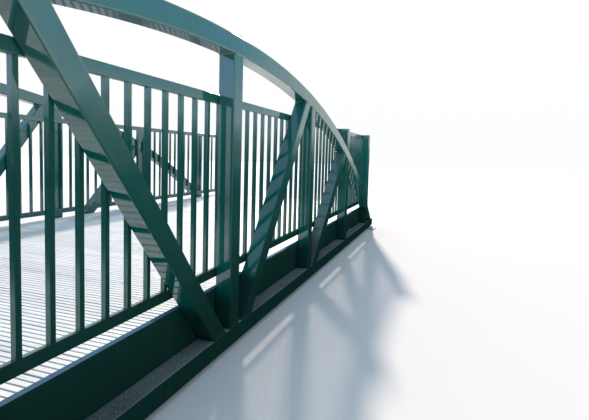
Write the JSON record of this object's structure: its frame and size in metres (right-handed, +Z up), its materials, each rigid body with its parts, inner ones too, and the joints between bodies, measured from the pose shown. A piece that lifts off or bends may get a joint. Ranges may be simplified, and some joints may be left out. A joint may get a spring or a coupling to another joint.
{
  "type": "pedestrian bridge",
  "caption": "Half-through tied-arch steel footbridge: bent square-tube top chords, posts and web diagonals over straight ties, plank deck on stringers, picket railings, anchored bearing plates.",
  "frame": {"origin": "under the middle of the deck, at the underside of the bearing plates", "axes": "+X along the bridge, +Y across it from the front truss to the back truss, +Z up"},
  "size_m": [9.7536, 3.0988, 1.7526],
  "materials": {
    "green_paint": "gloss dark green enamel, lightly dusty",
    "planks": "weathered grey, grooved",
    "pad_rubber": "matte",
    "bearing_steel": "galvanised, dull"
  },
  "bodies": {
    "root": {"front_bottom_chord": "green_paint", "front_chord_caps": "green_paint", "front_arch": "green_paint", "front_edge_channel": "green_paint", "front_edge_angle": "green_paint", "front_railing": "green_paint", "front_centre_post": "green_paint", "front_left_inner_post": "green_paint", "front_left_outer_post": "green_paint", "front_left_end_post": "green_paint", "front_left_inner_diagonal": "green_paint", "front_left_outer_diagonal": "green_paint", "front_right_inner_post": "green_paint", "front_right_outer_post": "green_paint", "front_right_end_post": "green_paint", "front_right_inner_diagonal": "green_paint", "front_right_outer_diagonal": "green_paint", "back_bottom_chord": "green_paint", "back_chord_caps": "green_paint", "back_arch": "green_paint", "back_edge_channel": "green_paint", "back_edge_angle": "green_paint", "back_railing": "green_paint", "back_centre_post": "green_paint", "back_left_inner_post": "green_paint", "back_left_outer_post": "green_paint", "back_left_end_post": "green_paint", "back_left_inner_diagonal": "green_paint", "back_left_outer_diagonal": "green_paint", "back_right_inner_post": "green_paint", "back_right_outer_post": "green_paint", "back_right_end_post": "green_paint", "back_right_inner_diagonal": "green_paint", "back_right_outer_diagonal": "green_paint", "floor_beams": "green_paint", "wind_braces": "green_paint", "left_end_beam": "green_paint", "right_end_beam": "green_paint", "inner_stringers": "green_paint", "deck": "planks", "deck_pads": "pad_rubber", "front_left_bearing": "bearing_steel", "front_right_bearing": "bearing_steel", "back_left_bearing": "bearing_steel", "back_right_bearing": "bearing_steel"}
  },
  "joints": []
}
